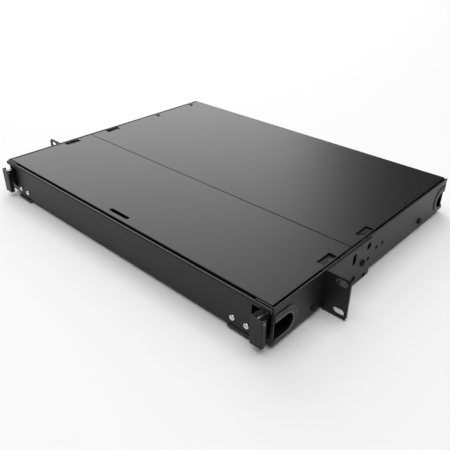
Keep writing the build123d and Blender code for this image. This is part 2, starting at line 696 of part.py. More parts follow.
def cable_clamp():
    """A slotted tie-down bridge on the floor for the right-hand cable."""
    x, y = CLAMP_PLACE
    profile = block(x - 15, x + 15, y - 6, y + 6, SHEET, 2 * SHEET)
    profile += block(x - 6, x + 6, y - 6, y + 6, SHEET, 9.0)
    profile -= block(x - 4.8, x + 4.8, y - 7, y + 7, 0, 9.0 - SHEET)
    profile -= block(x - 2, x + 2, y - 4, y + 4, 7, 10)
    for screw_x, screw_y in clamp_screw_places()[2:]:
        profile -= rod_z(1.6, 0, 4, screw_x, screw_y)
    return profile


def clamp_screws():
    screw = pan_screw(2.8, 1.8, 1.5, 2 * SHEET)
    return [Pos(x, y, 2 * SHEET) * screw for x, y in clamp_screw_places()]


def ground_stud():
    return rod_z(2.5, 0, 16.0, *ground_stud_place())


def ground_hardware():
    """A washer and a nut on the ground stud."""
    x, y = ground_stud_place()
    washer = rod_z(5.5, SHEET, SHEET + 1.0, x, y) - rod_z(2.5, 0, 4, x, y)
    return washer, Pos(x, y, SHEET + 1.0) * hex_nut(8.0, 4.0, 2.5)


# ---------------------------------------------------------------- write the sub-parts

def save_chassis():
    save("chassis_pan", chassis_pan())
    save_pair("cover_rail", cover_rail())
    save("centre_beam", centre_beam())
    save("beam_end_plates", *both_sides(beam_end_plate()))
    save("chassis_rivets", *chassis_rivets())
    save_pair("front_port_grommet", port_grommet(FRONT_PORT_Y))
    save_pair("rear_port_grommet", to_rear(port_grommet(REAR_PORT_Y)))


def save_ears():
    save_pair("rack_ear", rack_ear())
    ear_screws = side_fasteners(EAR_SCREWS, HALF_W + EAR_T, WALL_IN - 3.5)
    side_screws = side_fasteners(SIDE_SCREWS, HALF_W, WALL_IN - 3.5)
    nuts = wall_nuts(EAR_SCREWS + SIDE_SCREWS)
    save("ear_screws", *[copy for screw in ear_screws for copy in both_sides(screw)])
    save("side_screws", *[copy for screw in side_screws for copy in both_sides(screw)])
    save("wall_nuts", *[copy for nut in nuts for copy in both_sides(nut)])


def save_covers():
    save("front_top_cover", front_top_cover())
    save("rear_top_cover", rear_top_cover())
    save("rear_cover_screws", *rear_cover_screws())
    guide = latch_guide()
    save("front_latch_guides", *both_sides(guide))
    save("rear_latch_guides", *both_sides(across_seam(guide)))
    latch = cover_latch()
    save_pair("front_cover_latch", latch)
    save_pair("rear_cover_latch", across_seam(latch))


def save_door():
    save("front_door", front_door())
    save("door_rivets", *door_rivets())
    save_pair("hinge_door_leaf", hinge_door_leaf())
    save_pair("hinge_fixed_leaf", hinge_fixed_leaf())
    save("hinge_pins", *both_sides(hinge_pin()))


def save_guards():
    save_pair("cable_guard", cable_guard())
    save("guard_pins", *both_sides(guard_pin()))
    save("guard_springs", *both_sides(guard_spring()))


def save_adapters():
    save("adapter_bulkhead", adapter_bulkhead())
    caps = []
    front_face = BULKHEAD_Y - PLATE_T - 10
    rear_face = BULKHEAD_Y - PLATE_T + 16
    for name, x in plate_centres().items():
        centres = adapter_centres(x)
        save(f"adapter_plate_{name}", adapter_plate(x))
        save(f"adapters_{name}", *[duplex_adapter(centre) for centre in centres])
        caps += [dust_cap(centre, front_face, -1) for centre in centres]
        caps += [dust_cap(centre, rear_face, 1) for centre in centres]
        save(f"plunger_{name}_plate_left", plunger(x - PLUNGER_X))
        save(f"plunger_{name}_plate_right", plunger(x + PLUNGER_X))
    save("dust_caps", *caps)


def save_fibre_management():
    front_guide = fibre_guide(*GUIDE_FRONT)
    rear_guide = mirror(fibre_guide(*GUIDE_REAR), about=Plane.XZ.offset(-GUIDE_REAR[1]))
    save("front_fibre_guides", *both_sides(front_guide))
    save("rear_fibre_guides", *both_sides(rear_guide))
    save("splice_tray", splice_tray())
    save("splice_tray_lid", splice_tray_lid())
    save("splice_holders", *splice_holders())
    save("tray_stud", tray_stud())
    save("tray_wing_nut", tray_wing_nut())
    save("cable_clamps", *both_sides(cable_clamp()))
    save("clamp_screws", *clamp_screws())
    save("ground_stud", ground_stud())
    save("ground_nut_and_washer", *ground_hardware())


def main():
    os.makedirs("parts", exist_ok=True)
    save_chassis()
    save_ears()
    save_covers()
    save_door()
    save_guards()
    save_adapters()
    save_fibre_management()


if __name__ == "__main__":
    main()
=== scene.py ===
import math

import bmesh
import bpy
from bpy.props import FloatProperty, FloatVectorProperty, PointerProperty
from mathutils import Matrix, Vector


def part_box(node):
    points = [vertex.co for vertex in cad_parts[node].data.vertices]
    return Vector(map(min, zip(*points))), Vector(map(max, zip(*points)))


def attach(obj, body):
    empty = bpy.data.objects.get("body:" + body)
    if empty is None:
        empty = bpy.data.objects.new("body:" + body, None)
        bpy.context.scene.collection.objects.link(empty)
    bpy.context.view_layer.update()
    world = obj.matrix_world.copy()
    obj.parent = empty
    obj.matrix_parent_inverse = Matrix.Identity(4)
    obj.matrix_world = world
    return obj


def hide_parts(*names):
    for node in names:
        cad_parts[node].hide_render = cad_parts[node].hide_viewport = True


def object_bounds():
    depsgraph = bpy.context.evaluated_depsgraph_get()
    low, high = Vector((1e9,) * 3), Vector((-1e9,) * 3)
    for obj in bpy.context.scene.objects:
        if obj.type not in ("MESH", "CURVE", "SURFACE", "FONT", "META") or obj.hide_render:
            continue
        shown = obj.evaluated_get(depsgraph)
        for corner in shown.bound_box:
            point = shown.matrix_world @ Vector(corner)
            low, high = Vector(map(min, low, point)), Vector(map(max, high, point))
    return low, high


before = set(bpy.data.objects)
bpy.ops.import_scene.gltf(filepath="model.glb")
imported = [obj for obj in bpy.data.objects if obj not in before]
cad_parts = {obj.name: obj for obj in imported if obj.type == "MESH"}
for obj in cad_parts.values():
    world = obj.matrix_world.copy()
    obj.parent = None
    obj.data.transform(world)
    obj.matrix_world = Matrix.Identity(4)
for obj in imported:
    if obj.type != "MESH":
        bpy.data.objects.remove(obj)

bl_info = {
    "name": "Fibre Termination Box",
    "version": (1, 0, 0),
    "blender": (4, 5, 0),
    "location": "3D View > Sidebar > Termination Box",
    "description": "Finishes the pieces of a rack-mount fibre termination box and sets up its studio",
    "category": "Object",
}

CAD_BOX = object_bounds()
MM = 0.001
BEVEL_SAMPLES = 6

# Colours of what lies on the pieces, of the lid's sheet, and the black of the painted shade in slots
DUST = (0.075, 0.070, 0.064)
LID_DARK = (0.16, 0.18, 0.20)
LID_LIGHT = (0.23, 0.25, 0.27)
LID_EDGE = (0.55, 0.60, 0.64)
# Black for the painted shade on the walls of slots, where the gaps would be dark
SLOT_SHADE_BLACK = (0.0, 0.0, 0.0)

# The lamps: size and distance in metres, angles in degrees as away() takes them
KEY_LAMP = {"size": (3.5, 3.2), "azimuth": -125.0, "elevation": 25.0, "distance": 4.0}
TOP_LAMP = {"size": (5.0, 5.0), "azimuth": 0.0, "elevation": 89.0, "distance": 4.0}
FILL_LAMP = {"size": (1.2, 1.2), "azimuth": 40.0, "elevation": 40.0, "distance": 2.2}

# How solid the floor is, by its share of the way to the floor's edge
FLOOR_FADE = ((0.08, 1.0), (0.25, 0.0))

# A tubular rivet, as shares of its radius, and the points round its rolled rim
RIVET_RIM = 0.30
RIVET_BORE = 0.28
RIVET_TUBE = 0.50
RIVET_RIM_STEPS = 12

# The wing nut's hub, as (share of its radius, share of its height), and its wings, as
# (share of the reach, share of the height, how much narrower than the step before)
NUT_BORE = 0.46
NUT_HUB = ((NUT_BORE, 0.0), (0.98, 0.0), (1.0, 0.06), (0.86, 0.42), (0.80, 0.46), (NUT_BORE, 0.46))
NUT_TAPER = 2      # which band of the hub the wings grow from
NUT_SIDES = 12
NUT_SMOOTHING = 3  # levels of subdivision
NUT_WING = ((0.55, 0.35, 0.55), (0.80, 0.61, 0.60), (0.97, 0.80, 0.55))


# ---------------------------------------------------------------- settings

class PaintSettings(bpy.types.PropertyGroup):
    """The powder coat on the sheet steel."""

    colour: FloatVectorProperty(
        name="Paint colour", description="Colour of the powder coat", subtype="COLOR",
        size=3, min=0.0, max=1.0, default=(0.0070, 0.0068, 0.0069))
    sheen: FloatProperty(
        name="Paint roughness", description="Roughness of fresh powder coat",
        default=0.40, min=0.05, max=1.0, subtype="FACTOR")
    grain: FloatProperty(
        name="Paint grain", description="Distance between the bumps of the powder coat",
        default=0.9 * MM, min=0.1 * MM, max=5.0 * MM, unit="LENGTH")
    rubbed: FloatProperty(
        name="Rubbed edges", description="How far handling has polished the folded edges",
        default=0.55, min=0.0, max=1.0, subtype="FACTOR")
    fold: FloatProperty(
        name="Edge rounding", description="Radius that the coat gives to a cut edge",
        default=0.45 * MM, min=0.0, max=2.0 * MM, unit="LENGTH")


class MouldingSettings(bpy.types.PropertyGroup):
    """The moulded plastic pieces."""

    black: FloatVectorProperty(
        name="Black nylon", description="Colour of the grommets, latches and plungers",
        subtype="COLOR", size=3, min=0.0, max=1.0, default=(0.011, 0.011, 0.012))
    adapter: FloatVectorProperty(
        name="Adapter blue", description="Colour of the duplex adapters",
        subtype="COLOR", size=3, min=0.0, max=1.0, default=(0.018, 0.105, 0.36))
    cap: FloatVectorProperty(
        name="Cap grey", description="Colour of the soft dust caps",
        subtype="COLOR", size=3, min=0.0, max=1.0, default=(0.52, 0.54, 0.57))
    tray: FloatVectorProperty(
        name="Tray grey", description="Colour of the splice tray",
        subtype="COLOR", size=3, min=0.0, max=1.0, default=(0.055, 0.056, 0.060))
    holder: FloatVectorProperty(
        name="Holder white", description="Colour of the splice holders",
        subtype="COLOR", size=3, min=0.0, max=1.0, default=(0.70, 0.71, 0.69))
    lid_alpha: FloatProperty(
        name="Lid opacity", description="How much the smoked lid hides",
        default=0.35, min=0.0, max=1.0, subtype="FACTOR")


class MetalSettings(bpy.types.PropertyGroup):
    """The bare and plated metal pieces."""

    zinc: FloatVectorProperty(
        name="Zinc", description="Colour of the zinc plating", subtype="COLOR",
        size=3, min=0.0, max=1.0, default=(0.56, 0.57, 0.60))
    rivet: FloatVectorProperty(
        name="Bright rivet", description="Colour of the tubular rivets", subtype="COLOR",
        size=3, min=0.0, max=1.0, default=(0.90, 0.90, 0.90))
    bronze: FloatVectorProperty(
        name="Spring bronze", description="Colour of the guard springs", subtype="COLOR",
        size=3, min=0.0, max=1.0, default=(0.55, 0.36, 0.20))
    brass: FloatVectorProperty(
        name="Brass", description="Colour of the ground stud", subtype="COLOR",
        size=3, min=0.0, max=1.0, default=(0.72, 0.52, 0.22))
    rivet_radius: FloatProperty(
        name="Rivet radius", description="Radius of a tubular rivet's rolled rim",
        default=3.1 * MM, min=0.5 * MM, max=10.0 * MM, unit="LENGTH")
    rivet_pitch: FloatProperty(
        name="Rivet pitch", description="Between the two rivets of a hinge",
        default=16.4 * MM, min=5.0 * MM, max=50.0 * MM, unit="LENGTH")
    black_zinc: FloatVectorProperty(
        name="Black zinc", description="Colour of the black screws", subtype="COLOR",
        size=3, min=0.0, max=1.0, default=(0.016, 0.016, 0.017))


class StudioSettings(bpy.types.PropertyGroup):
    """The floor, the lamps and the camera."""

    floor_colour: FloatVectorProperty(
        name="Floor colour", description="Colour of the paper floor", subtype="COLOR",
        size=3, min=0.0, max=1.0, default=(0.90, 0.90, 0.90))
    floor_half: FloatProperty(
        name="Floor half width", description="From the box to the edge of the floor",
        default=14.0, min=1.0, max=50.0, unit="LENGTH")
    key_power: FloatProperty(
        name="Key lamp", description="Power of the soft box behind the box, to its left",
        default=100.0, min=0.0, max=500.0, unit="POWER")
    top_power: FloatProperty(
        name="Top lamp", description="Power of the soft box over the box",
        default=190.0, min=0.0, max=500.0, unit="POWER")
    fill_power: FloatProperty(
        name="Fill lamp", description="Power of the soft box in front, to the right",
        default=4.0, min=0.0, max=500.0, unit="POWER")
    room_light: FloatProperty(
        name="Room light", description="Strength of the even light from all round",
        default=0.03, min=0.0, max=2.0)
    lens: FloatProperty(
        name="Lens", description="Focal length of the camera in millimetres",
        default=42.82, min=10.0, max=200.0)
    camera_place: FloatVectorProperty(
        name="Camera place", description="Where the camera stands, from the mount's centre",
        size=3, subtype="TRANSLATION", unit="LENGTH", default=(0.4138, -0.3526, 0.3003))
    camera_azimuth: FloatProperty(
        name="Camera azimuth", description="Turn of the camera round the box, from its front",
        default=math.radians(42.6), subtype="ANGLE", unit="ROTATION")
    camera_elevation: FloatProperty(
        name="Camera elevation", description="Angle of the camera's line over the horizon",
        default=math.radians(30.63), subtype="ANGLE", unit="ROTATION")
    camera_roll: FloatProperty(
        name="Camera roll", description="Tilt of the camera about its own line",
        default=math.radians(0.52), subtype="ANGLE", unit="ROTATION")


class BoxSettings(bpy.types.PropertyGroup):
    """Everything that the panel shows."""

    paint: PointerProperty(type=PaintSettings, name="Paint", description="The powder coat")
    moulding: PointerProperty(type=MouldingSettings, name="Mouldings", description="The plastics")
    metal: PointerProperty(type=MetalSettings, name="Metals", description="The bare metals")
    studio: PointerProperty(type=StudioSettings, name="Studio", description="Floor, lamps, camera")


# ---------------------------------------------------------------- finishes as shader nodes

class Value:
    """A number that varies over a surface. Arithmetic on it adds Math nodes."""

    def __init__(self, finish, socket):
        self.finish = finish
        self.socket = socket

    def math(self, operation, *values):
        node = self.finish.node("ShaderNodeMath", {"operation": operation}, dict(enumerate(values)))
        return Value(self.finish, node.outputs[0])

    def __add__(self, other):
        return self.math("ADD", self, other)

    __radd__ = __add__

    def __sub__(self, other):
        return self.math("SUBTRACT", self, other)

    def __rsub__(self, other):
        return self.math("SUBTRACT", other, self)

    def __mul__(self, other):
        return self.math("MULTIPLY", self, other)

    __rmul__ = __mul__


class Finish:
    """One material: its node tree, with a Principled shader at the end."""

    def __init__(self, name, **fixed):
        self.material = bpy.data.materials.new(name)
        self.material.use_nodes = True
        self.tree = self.material.node_tree
        self.tree.nodes.clear()
        self.shader = self.node("ShaderNodeBsdfPrincipled", sockets=fixed)
        self.node("ShaderNodeOutputMaterial", sockets={"Surface": self.shader.outputs[0]})
        place = self.node("ShaderNodeTexCoord")
        self.place = place.outputs["Object"]
        self.surface = self.node("ShaderNodeNewGeometry")

    def node(self, kind, settings=None, sockets=None):
        """Adds a node, gives it its settings and then the values or links of its sockets."""
        node = self.tree.nodes.new(kind)
        for name, value in (settings or {}).items():
            if name == "stops":
                self.set_stops(node.color_ramp, value)
            else:
                setattr(node, name, value)
        for name, value in (sockets or {}).items():
            key = name if isinstance(name, int) else name.replace("_", " ")
            self.feed(node.inputs[key], value)
        return node

    @staticmethod
    def set_stops(ramp, stops):
        while len(ramp.elements) < len(stops):
            ramp.elements.new(1.0)
        for element, (position, grey) in zip(ramp.elements, stops):
            element.position = position
            element.color = (grey, grey, grey, 1.0)

    def feed(self, socket, value):
        if isinstance(value, Value):
            value = value.socket
        if isinstance(value, bpy.types.NodeSocket):
            self.tree.links.new(value, socket)
        elif socket.type == "RGBA" and len(value) == 3:
            socket.default_value = (*value, 1.0)
        else:
            socket.default_value = value

    def stretched(self, across):
        """The surface's own place, stretched so that a pattern runs in lines."""
        node = self.node("ShaderNodeVectorMath", {"operation": "MULTIPLY"}, {0: self.place, 1: across})
        return node.outputs[0]

    def noise(self, size, detail=2.0, place=None, distortion=0.0):
        """Soft random spots that are about size metres across, from 0 to 1."""
        node = self.node("ShaderNodeTexNoise", sockets={
            "Vector": place or self.place, "Scale": 1.0 / size, "Detail": detail,
            "Distortion": distortion})
        return Value(self, node.outputs["Fac"])

    def pebbles(self, size):
        """Rounded cells that are about size metres across, from 0 at their middles."""
        node = self.node("ShaderNodeTexVoronoi", {"feature": "SMOOTH_F1"}, {
            "Vector": self.place, "Scale": 1.0 / size})
        return Value(self, node.outputs["Distance"])

    def stops(self, value, *stops):
        """Reshapes a number by (position, result) pairs."""
        node = self.node("ShaderNodeValToRGB", {"stops": stops}, {"Fac": value})
        return Value(self, node.outputs["Color"])

    def mix(self, first, second, share):
        """The first colour, going to the second as share rises to 1."""
        node = self.node("ShaderNodeMix", {"data_type": "RGBA"}, {0: share, 6: first, 7: second})
        return node.outputs[2]

    def facing(self, direction):
        """1 where the surface looks in a direction, 0 at right angles to it, -1 the other way."""
        node = self.node("ShaderNodeVectorMath", {"operation": "DOT_PRODUCT"}, {
            0: direction, 1: self.surface.outputs["True Normal"]})
        return Value(self, node.outputs["Value"])

    def rounded(self, radius):
        """The normal with its edges rounded, and how much that bends it at each place."""
        bevel = self.node("ShaderNodeBevel", {"samples": BEVEL_SAMPLES}, {"Radius": radius})
        bend = 1.0 - self.facing(bevel.outputs[0])
        return bevel.outputs[0], self.stops(bend, (0.0, 0.0), (0.22, 1.0))

    def facing_up(self):
        """1 where the surface looks up, 0 on walls and undersides."""
        return self.stops(self.facing((0.0, 0.0, 1.0)), (0.55, 0.0), (0.95, 1.0))

    def slot_shade_mask(self):
        """1 on faces that run from side to side, 0 where the surface looks left or right. This is
        where the painted shade of slot walls goes.
        """
        sideways = self.facing((1.0, 0.0, 0.0))
        return self.stops(sideways * sideways, (0.2, 1.0), (0.8, 0.0))

    def relief(self, height, depth, normal=None):
        """Bumps that are depth metres high where height is 1."""
        sockets = {"Strength": 1.0, "Distance": depth, "Height": height}
        if normal is not None:
            sockets["Normal"] = normal
        return self.node("ShaderNodeBump", sockets=sockets).outputs[0]

    def done(self, colour, roughness, normal):
        self.feed(self.shader.inputs["Base Color"], colour)
        self.feed(self.shader.inputs["Roughness"], roughness)
        self.feed(self.shader.inputs["Normal"], normal)
        return self.material


def lighter(colour, share):
    """A colour moved towards white by share."""
    return tuple(part + (1.0 - part) * share for part in colour)


def darker(colour, share):
    """A colour moved towards black by share."""
    return tuple(part * (1.0 - share) for part in colour)


def powder_coat(name, paint, gloss=0.0, scuffs=0.3):
    """Satin black powder coat: orange peel, uneven gloss, rubbed edges and a little dust."""
    finish = Finish(name, Specular_IOR_Level=0.30, IOR=1.5)
    normal, edge = finish.rounded(paint.fold)
    peel = finish.pebbles(paint.grain)
    fine = finish.noise(paint.grain * 0.35, 3.0)
    broad = finish.noise(70 * MM, 3.0)
    handled = finish.stops(finish.noise(24 * MM, 4.0, distortion=0.6), (0.52, 0.0), (0.72, 1.0))
    streaks = finish.noise(5 * MM, 3.0, finish.stretched((1.0, 0.08, 1.0)))
    scuff = finish.stops(streaks, (0.62, 0.0), (0.70, 1.0)) * handled * scuffs
    chips = finish.stops(finish.noise(1.6 * MM, 4.0), (0.40, 0.0), (0.62, 1.0))
    rubbed = edge * paint.rubbed * (0.35 + 0.65 * chips)
    dust = finish.facing_up() * finish.stops(fine * broad, (0.30, 0.0), (0.48, 1.0))
    colour = finish.mix(darker(paint.colour, 0.18), lighter(paint.colour, 0.006), broad)
    colour = finish.mix(colour, lighter(paint.colour, 0.060), rubbed)
    colour = finish.mix(colour, lighter(paint.colour, 0.030), scuff)
    colour = finish.mix(colour, DUST, dust * 0.05)
    roughness = paint.sheen - gloss + (broad - 0.5) * 0.035 + (fine - 0.5) * 0.06
    roughness = roughness - rubbed * 0.10 + scuff * 0.06 - handled * 0.010
    height = peel * 0.7 + fine * 0.3
    return finish.done(colour, roughness, finish.relief(height, 0.020 * MM, normal))


def moulded(name, colour, roughness, grain=0.5 * MM, edge_radius=0.25 * MM, soft=0.0, painted_slot_shade=0.0):
    """Injection-moulded plastic: spark-eroded grain, flow marks, edges worn shiny and painted shade in
    slots.

    The last argument sets how far painted shade darkens the walls of slots that are cut through a
    piece from side to side, towards black, where the gaps would be dark.
    """
    finish = Finish(name, Specular_IOR_Level=0.45, IOR=1.48, Subsurface_Weight=soft,
                    Subsurface_Scale=1.5 * MM)
    normal, edge = finish.rounded(edge_radius)
    spark = finish.pebbles(grain)
    fine = finish.noise(grain * 0.4, 2.0)
    flow = finish.noise(14 * MM, 3.0, finish.stretched((1.0, 0.3, 1.0)), 1.2)
    tint = finish.mix(darker(colour, 0.16), lighter(colour, 0.010), flow)
    tint = finish.mix(tint, lighter(colour, 0.10), edge * 0.35)
    # Painted shade: the walls of slots are mixed towards black, where the gaps between teeth would lie
    # in shade
    if painted_slot_shade:
        tint = finish.mix(tint, SLOT_SHADE_BLACK, finish.slot_shade_mask() * painted_slot_shade)
    shine = roughness + (flow - 0.5) * 0.10 + (fine - 0.5) * 0.08 - edge * 0.10
    return finish.done(tint, shine, finish.relief(spark * 0.6 + fine * 0.4, 0.015 * MM, normal))


def bare_metal(name, colour, roughness, grain=(1.0, 0.05, 1.0), tarnish=0.25, edge_radius=0.2 * MM):
    """Plated, drawn or turned metal: fine lines along the work, stains and bright edges."""
    finish = Finish(name, Metallic=1.0)
    normal, edge = finish.rounded(edge_radius)
    lines = finish.noise(0.35 * MM, 4.0, finish.stretched(grain))
    stain = finish.stops(finish.noise(4 * MM, 4.0, distortion=0.8), (0.42, 0.0), (0.68, 1.0))
    pits = finish.stops(finish.noise(0.5 * MM, 2.0), (0.28, 1.0), (0.36, 0.0))
    tint = finish.mix(colour, darker(colour, 0.55), stain * tarnish)
    tint = finish.mix(tint, lighter(colour, 0.45), edge * 0.5)
    tint = finish.mix(tint, darker(colour, 0.7), pits * 0.25)
    shine = roughness + (lines - 0.5) * 0.16 + stain * tarnish * 0.35 - edge * 0.05
    return finish.done(tint, shine, finish.relief(lines - pits * 0.6, 0.012 * MM, normal))


def black_oxide(name, colour, roughness=0.34, shine=0.4):
    """Blackened steel: a thin dark film that has worn to metal on the edges."""
    finish = Finish(name, Specular_IOR_Level=shine)
    normal, edge = finish.rounded(0.25 * MM)
    mottle = finish.noise(3 * MM, 4.0)
    fine = finish.noise(0.3 * MM, 3.0)
    worn = edge * finish.stops(finish.noise(0.9 * MM, 3.0), (0.35, 0.0), (0.60, 1.0))
    tint = finish.mix(darker(colour, 0.3), lighter(colour, 0.02), mottle)
    tint = finish.mix(tint, lighter(colour, 0.24), worn * 0.7)
    finish.feed(finish.shader.inputs["Metallic"], worn * 0.6)
    rough = roughness + (mottle - 0.5) * 0.18 + (fine - 0.5) * 0.10
    return finish.done(tint, rough, finish.relief(fine, 0.010 * MM, normal))


def smoked_lid(name, opacity):
    """Clear smoked sheet with fine wiping scratches."""
    finish = Finish(name, IOR=1.58, Specular_IOR_Level=0.6, Alpha=opacity)
    normal, edge = finish.rounded(0.3 * MM)
    haze = finish.noise(30 * MM, 3.0)
    wiped = finish.noise(0.6 * MM, 3.0, finish.stretched((0.04, 1.0, 1.0)))
    tint = finish.mix(LID_DARK, LID_LIGHT, haze)
    tint = finish.mix(tint, LID_EDGE, edge * 0.6)
    shine = 0.10 + haze * 0.08 + (wiped - 0.5) * 0.10
    return finish.done(tint, shine, finish.relief(wiped, 0.004 * MM, normal))


def paint_nodes(material, *names):
    """Gives CAD pieces a finish in every slot that they have."""
    for name in names:
        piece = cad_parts[name]
        if not piece.data.materials:
            piece.data.materials.append(material)
        for index in range(len(piece.material_slots)):
            piece.material_slots[index].material = material


def sides(stem):
    return f"{stem}_left", f"{stem}_right"


# ---------------------------------------------------------------- shapes

def mesh_piece(name, shape):
    """Turns a bmesh into a smooth-shaded object in the scene."""
    bmesh.ops.recalc_face_normals(shape, faces=shape.faces)
    mesh = bpy.data.meshes.new(name)
    shape.to_mesh(mesh)
    shape.free()
    mesh.shade_smooth()
    piece = bpy.data.objects.new(name, mesh)
    bpy.context.scene.collection.objects.link(piece)
    return piece


def turn(shape, outline, place, segments=48):
    """Turns an outline of (radius, depth) pairs round a line along Y from place."""
    rings = []
    for radius, depth in outline:
        ring = []
        for step in range(segments):
            angle = 2 * math.pi * step / segments
            offset = Vector((math.cos(angle) * radius, depth, math.sin(angle) * radius))
            ring.append(shape.verts.new(place + offset))
        rings.append(ring)
    for first, second in zip(rings, rings[1:] + rings[:1]):
        for step in range(segments):
            after = (step + 1) % segments
            shape.faces.new((first[step], first[after], second[after], second[step]))


def turn_rivet(shape, place, radius, length):
    """A tubular rivet: a rolled rim in front, a dished throat and a plain tube behind."""
    rim = radius * RIVET_RIM
    bore = radius * RIVET_BORE
    tube = radius * RIVET_TUBE
    crest = rim * 1.1
    outline = []
    for step in range(RIVET_RIM_STEPS + 1):
        angle = math.pi * (1.0 - step / RIVET_RIM_STEPS)
        across = radius - rim + math.cos(angle) * rim
        outline.append((across, crest * (1.0 - math.sin(angle))))
    outline += [(radius * 0.96, rim * 1.35), (tube, rim * 1.35), (tube, length), (bore, length)]
    outline += [(bore, rim * 2.4), (bore * 1.25, rim * 1.7), (radius - 2.1 * rim, rim * 1.25)]
    turn(shape, outline, place)


def nut_hub(shape, foot, radius, tall):
    """The turned hub of the wing nut. Gives the faces of its tapered wall."""
    rings = []
    for across, up in NUT_HUB:
        ring = []
        for step in range(NUT_SIDES):
            angle = 2 * math.pi * (step + 0.5) / NUT_SIDES
            spoke = Vector((math.cos(angle), math.sin(angle), 0.0)) * radius * across
            ring.append(shape.verts.new(foot + spoke + Vector((0.0, 0.0, up * tall))))
        rings.append(ring)
    bands = []
    for first, second in zip(rings, rings[1:] + rings[:1]):
        band = []
        for step in range(NUT_SIDES):
            after = (step + 1) % NUT_SIDES
            band.append(shape.faces.new((first[step], first[after], second[after], second[step])))
        bands.append(band)
    return bands[NUT_TAPER]


def cast_wing_nut(low, high):
    """A cage for subdivision: a hub with a bore and two swept wings."""
    foot = Vector(((low.x + high.x) / 2, (low.y + high.y) / 2, low.z))
    tall = high.z - low.z
    reach = (high.x - low.x) / 2
    shape = bmesh.new()
    wall = nut_hub(shape, foot, (high.y - low.y) / 2, tall)
    for root, sign in ((wall[-1], 1), (wall[NUT_SIDES // 2 - 1], -1)):
        face = root
        for along, up, narrow in NUT_WING:
            face = bmesh.ops.extrude_discrete_faces(shape, faces=[face])["faces"][0]
            middle = face.calc_center_median()
            target = foot + Vector((sign * reach * along, 0.0, tall * up))
            for corner in face.verts:
                offset = corner.co - middle
                offset.y *= narrow
                corner.co = target + offset
    return shape


# ---------------------------------------------------------------- operators

class TERMBOX_OT_chassis(bpy.types.Operator):
    """Coat the pan, the rails, the centre beam and the bulkhead"""

    bl_idname = "termbox.chassis"
    bl_label = "Chassis"

    def execute(self, context):
        box = context.scene.termination_box
        coat = powder_coat("chassis_coat", box.paint, scuffs=0.4)
        paint_nodes(coat, "chassis_pan", "centre_beam", "beam_end_plates", "adapter_bulkhead",
                    *sides("cover_rail"))
        inner = powder_coat("bracket_coat", box.paint, gloss=0.04, scuffs=0.2)
        paint_nodes(inner, "adapter_plate_left", "adapter_plate_middle", "adapter_plate_right",
                    "front_latch_guides", "rear_latch_guides", "cable_clamps")
        return {"FINISHED"}


class TERMBOX_OT_covers(bpy.types.Operator):
    """Coat the two lift-off top covers"""

    bl_idname = "termbox.covers"
    bl_label = "Top covers"

    def execute(self, context):
        box = context.scene.termination_box
        coat = powder_coat("cover_coat", box.paint, gloss=0.02, scuffs=0.25)
        paint_nodes(coat, "front_top_cover", "rear_top_cover")
        return {"FINISHED"}


class TERMBOX_OT_door(bpy.types.Operator):
    """Coat the drop-down front door"""

    bl_idname = "termbox.door"
    bl_label = "Front door"

    def execute(self, context):
        box = context.scene.termination_box
        paint_nodes(powder_coat("door_coat", box.paint, scuffs=0.35), "front_door")
        return {"FINISHED"}


class TERMBOX_OT_hinges(bpy.types.Operator):
    """Finish the hinge leaves and their pins"""

    bl_idname = "termbox.hinges"
    bl_label = "Hinges"

    def execute(self, context):
        box = context.scene.termination_box
        leaf = black_oxide("hinge_black", box.metal.black_zinc, 0.30)
        paint_nodes(leaf, *sides("hinge_door_leaf"), *sides("hinge_fixed_leaf"))
        paint_nodes(bare_metal("pin_zinc", box.metal.zinc, 0.28), "hinge_pins", "guard_pins")
        return {"FINISHED"}


class TERMBOX_OT_guards(bpy.types.Operator):
    """Coat the cable guards and finish their bronze springs"""

    bl_idname = "termbox.guards"
    bl_label = "Cable guards"

    def execute(self, context):
        box = context.scene.termination_box
        paint_nodes(powder_coat("guard_coat", box.paint, gloss=0.03), *sides("cable_guard"))
        spring = bare_metal("spring_bronze", box.metal.bronze, 0.30, (1.0, 0.1, 1.0), 0.35)
        paint_nodes(spring, "guard_springs")
        return {"FINISHED"}


class TERMBOX_OT_ears(bpy.types.Operator):
    """Coat the slotted rack ears"""

    bl_idname = "termbox.ears"
    bl_label = "Rack ears"

    def execute(self, context):
        box = context.scene.termination_box
        paint_nodes(powder_coat("ear_coat", box.paint, scuffs=0.6), *sides("rack_ear"))
        return {"FINISHED"}


class TERMBOX_OT_fasteners(bpy.types.Operator):
    """Finish the screws and nuts"""

    bl_idname = "termbox.fasteners"
    bl_label = "Screws and nuts"

    def execute(self, context):
        box = context.scene.termination_box
        # Black screws. Their colour is also halved from black zinc as painted shade of their recesses
        black = black_oxide("screw_black_recess_shade", darker(box.metal.black_zinc, 0.5), 0.60, shine=0.12)
        paint_nodes(black, "ear_screws", "side_screws", "rear_cover_screws", "chassis_rivets")
        zinc = bare_metal("nut_zinc", box.metal.zinc, 0.32, (1.0, 1.0, 0.08))
        paint_nodes(zinc, "wall_nuts", "clamp_screws", "tray_stud")
        return {"FINISHED"}


class TERMBOX_OT_rivets(bpy.types.Operator):
    """Turn the bright tubular rivets of the door, with rolled rims"""

    bl_idname = "termbox.rivets"
    bl_label = "Door rivets"

    def execute(self, context):
        box = context.scene.termination_box
        low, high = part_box("door_rivets")
        radius = box.metal.rivet_radius
        pitch_in = high.x - radius - box.metal.rivet_pitch
        height = (low.z + high.z) / 2
        shape = bmesh.new()
        for x in (high.x - radius, pitch_in, -pitch_in, radius - high.x):
            turn_rivet(shape, Vector((x, low.y, height)), radius, high.y - low.y)
        rivets = mesh_piece("rolled_rivets", shape)
        finish = bare_metal("rivet_bright", box.metal.rivet, 0.20, (1.0, 1.0, 1.0), 0.10)
        rivets.data.materials.append(finish)
        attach(rivets, "door")
        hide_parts("door_rivets")
        return {"FINISHED"}


